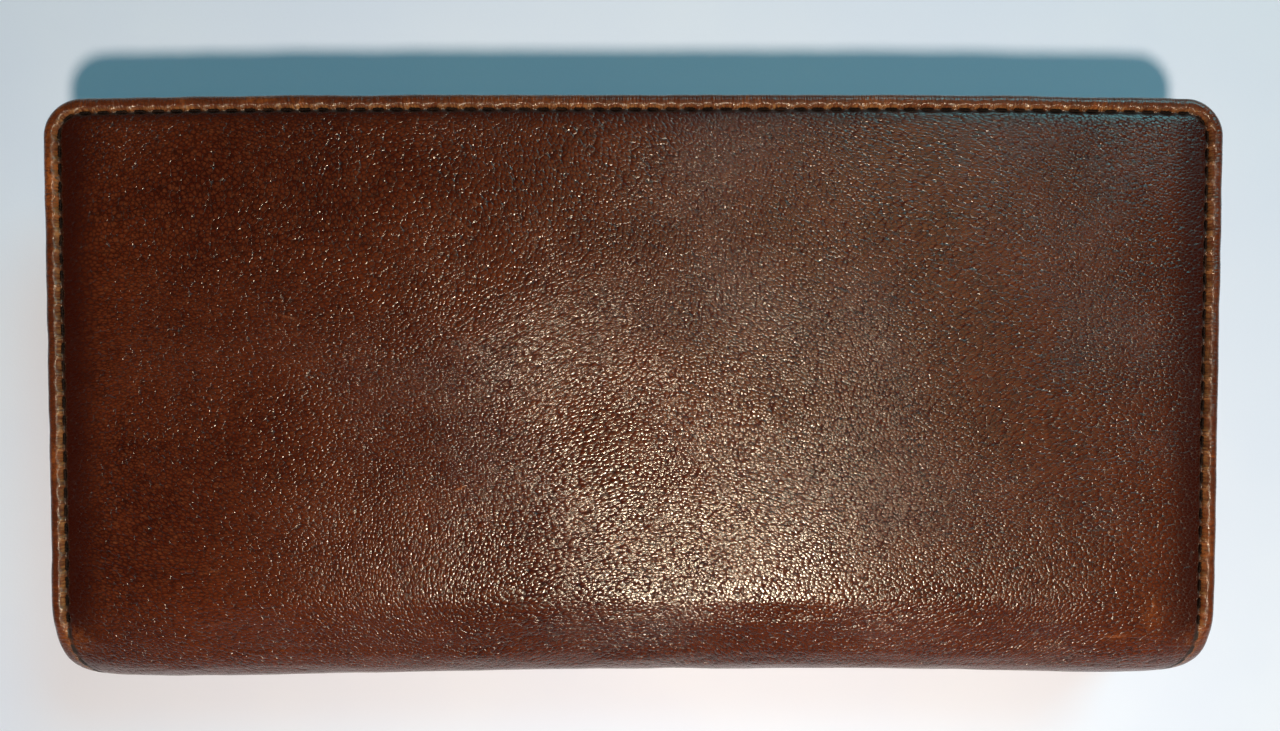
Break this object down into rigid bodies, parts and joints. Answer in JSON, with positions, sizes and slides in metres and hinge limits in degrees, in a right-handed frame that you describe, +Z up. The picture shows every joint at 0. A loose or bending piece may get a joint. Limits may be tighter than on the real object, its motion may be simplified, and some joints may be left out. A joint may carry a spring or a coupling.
{
  "type": "long wallet",
  "caption": "Long bifold wallet in turned-edge leather with a rolled spine; it opens flat on card pockets, banknote compartments and a zipped coin pocket.",
  "frame": {"origin": "centre of the closed wallet's outline, on the plane its back cover rests on", "axes": "+Z up through the closed wallet to its front cover, +X along the long side, +Y from the folded spine to the open edge"},
  "size_m": [0.19, 0.095, 0.022],
  "materials": {
    "cover_leather": "pull-up full-grain leather, semi-gloss, worn edges",
    "inner_leather": "smooth leather, satin",
    "backing_board": "bonded leather board, matt",
    "lining_cloth": "twill, matt",
    "thread": "waxed thread",
    "zip_tape": "woven tape, matt",
    "zip_brass": "antique brass, polished faces"
  },
  "bodies": {
    "back_half": {"back_cover": "cover_leather", "back_backing": "backing_board", "back_lining": "lining_cloth", "back_cover_thread": "thread", "back_gusset_left": "inner_leather", "back_gusset_right": "inner_leather"},
    "spine_lower": {"spine_cover_lower": "cover_leather", "spine_backing_lower": "backing_board", "spine_lining_lower": "lining_cloth"},
    "spine_upper": {"spine_cover_upper": "cover_leather", "spine_backing_upper": "backing_board", "spine_lining_upper": "lining_cloth"},
    "front_half": {"front_cover": "cover_leather", "front_backing": "backing_board", "front_lining": "lining_cloth", "front_cover_thread": "thread", "front_gusset_left": "inner_leather", "front_gusset_right": "inner_leather"},
    "card_panel": {"card_panel_base": "inner_leather", "card_pocket_1": "inner_leather", "card_pocket_2": "inner_leather", "card_pocket_3": "inner_leather", "card_pocket_4": "inner_leather", "card_pocket_glue_strips": "inner_leather", "card_panel_heel": "inner_leather", "card_panel_thread": "thread"},
    "coin_panel": {"coin_pocket_front_wall": "inner_leather", "coin_pocket_rear_wall": "inner_leather", "coin_pocket_floor": "inner_leather", "coin_pocket_side_left": "inner_leather", "coin_pocket_side_right": "inner_leather", "front_panel_heel": "inner_leather", "slip_pocket": "inner_leather", "slip_pocket_glue_strips": "inner_leather", "coin_pocket_thread": "thread", "zip_tape_front": "zip_tape", "zip_tape_rear": "zip_tape", "zip_teeth_front": "zip_brass", "zip_teeth_rear": "zip_brass", "zip_stops": "zip_brass"},
    "slider": {"zip_slider": "zip_brass", "zip_slider_bail": "zip_brass"},
    "pull": {"zip_pull_link": "zip_brass", "zip_pull_tab": "cover_leather", "zip_pull_rivet": "zip_brass"}
  },
  "joints": [
    {"name": "spine_lower_flex", "type": "hinge", "parent": "back_half", "child": "spine_lower", "pos_m": [0, -0.04226, 0.00102], "axis": [1, 0, 0], "range_deg": [0, 60]},
    {"name": "spine_middle_flex", "type": "hinge", "parent": "spine_lower", "child": "spine_upper", "pos_m": [0, -0.04802, 0.011], "axis": [1, 0, 0], "range_deg": [0, 60]},
    {"name": "spine_upper_flex", "type": "hinge", "parent": "spine_upper", "child": "front_half", "pos_m": [0, -0.04226, 0.02098], "axis": [1, 0, 0], "range_deg": [0, 60]},
    {"name": "card_panel_gape", "type": "hinge", "parent": "back_half", "child": "card_panel", "pos_m": [0, -0.0337, 0.0027], "axis": [1, 0, 0], "range_deg": [0, 10], "deforming": ["back_gusset_left", "back_gusset_right"]},
    {"name": "coin_panel_gape", "type": "hinge", "parent": "front_half", "child": "coin_panel", "pos_m": [0, -0.0335, 0.0193], "axis": [-1, 0, 0], "range_deg": [0, 8], "deforming": ["front_gusset_left", "front_gusset_right"]},
    {"name": "zip_slide", "type": "slide", "parent": "coin_panel", "child": "slider", "axis": [1, 0, 0], "range_m": [0, 0.154], "deforming": ["zip_tape_front", "zip_tape_rear", "zip_teeth_front", "zip_teeth_rear"]},
    {"name": "pull_swing", "type": "hinge", "parent": "slider", "child": "pull", "pos_m": [-0.079, 0.03805, 0.0145], "axis": [0, 0, 1], "range_deg": [0, 175]}
  ],
  "couplings": [
    {"joint": "spine_middle_flex", "follows": "spine_lower_flex", "ratio": 1},
    {"joint": "spine_upper_flex", "follows": "spine_lower_flex", "ratio": 1},
    {"joint": "card_panel_gape", "follows": "spine_lower_flex", "ratio": 0.16},
    {"joint": "coin_panel_gape", "follows": "spine_lower_flex", "ratio": 0.12}
  ]
}
